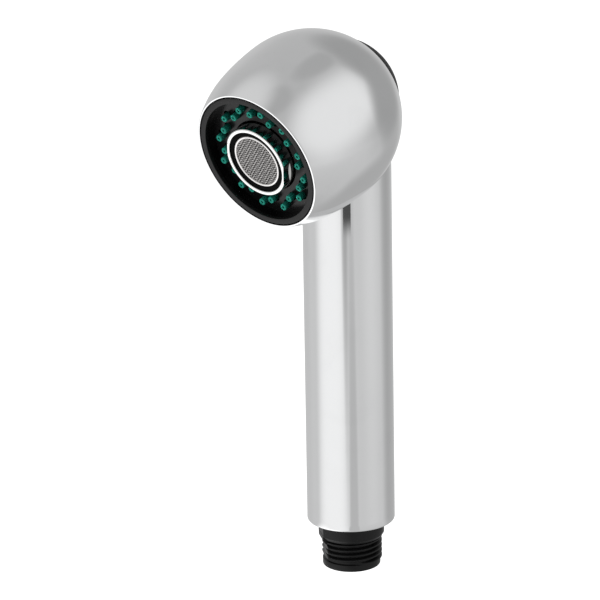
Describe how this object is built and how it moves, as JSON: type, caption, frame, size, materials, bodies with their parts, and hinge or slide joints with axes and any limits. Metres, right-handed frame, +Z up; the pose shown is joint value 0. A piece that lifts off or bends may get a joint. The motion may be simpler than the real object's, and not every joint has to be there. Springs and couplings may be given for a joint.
{
  "type": "handheld bath sprayer",
  "caption": "Handheld bath sprayer with an egg-shaped spray head, stream and spray changeover by a rear button, and a threaded inlet below a round handle.",
  "frame": {"origin": "centre of the inlet thread's end face", "axes": "+Z up the handle, spray face towards -Y, +X across the handle"},
  "size_m": [0.0602, 0.0679, 0.192],
  "materials": {
    "chrome_shell": "bright chrome plate on moulded plastic",
    "chrome_housing": "polished chrome",
    "black_plastic": "fine moulded texture",
    "gloss_black": "smooth moulded gloss",
    "dark_grey_plastic": "matt",
    "black_rubber": "smooth",
    "teal_silicone": "soft satin silicone",
    "inner_plastic": "natural acetal",
    "pale_plastic": "natural acetal",
    "spring_steel": "drawn stainless wire",
    "steel_mesh": "woven stainless wire",
    "brass": "turned"
  },
  "bodies": {
    "handset": {"head_shell": "chrome_shell", "handle_sleeve": "chrome_shell", "inlet_tube": "black_plastic", "riser_washer": "black_rubber", "inlet_filter": "pale_plastic", "check_valve_body": "pale_plastic", "check_valve_guide": "pale_plastic", "check_valve_spring": "spring_steel", "valve_body": "inner_plastic", "gland_cap": "inner_plastic", "cap_seal": "black_rubber", "stem_seal": "black_rubber", "rear_seat_ring": "inner_plastic", "return_spring": "spring_steel", "face_plate": "gloss_black", "nozzle_mat": "teal_silicone", "bumper_ring": "dark_grey_plastic"},
    "diverter": {"rear_button": "gloss_black", "diverter_stem": "brass", "diverter_washers": "black_rubber", "aerator_carrier": "inner_plastic", "carrier_seal": "black_rubber", "aerator_housing": "chrome_housing", "aerator_gasket": "black_rubber", "aerator_cage": "black_plastic", "aerator_core": "black_plastic", "aerator_screen": "steel_mesh", "aerator_rim": "steel_mesh", "aerator_mesh": "steel_mesh"},
    "check_poppet": {"check_valve_poppet": "pale_plastic", "check_valve_seal": "black_rubber"}
  },
  "joints": [
    {"name": "button_press", "type": "slide", "parent": "handset", "child": "diverter", "axis": [0, -0.9537, -0.3007], "range_m": [0, 0.0035], "stiffness_N_per_m": 700, "springref_m": -0.0042, "deforming": ["return_spring"]},
    {"name": "check_valve_lift", "type": "slide", "parent": "handset", "child": "check_poppet", "axis": [0, 0, 1], "range_m": [0, 0.003], "stiffness_N_per_m": 40, "springref_m": -0.003, "deforming": ["check_valve_spring"]}
  ]
}
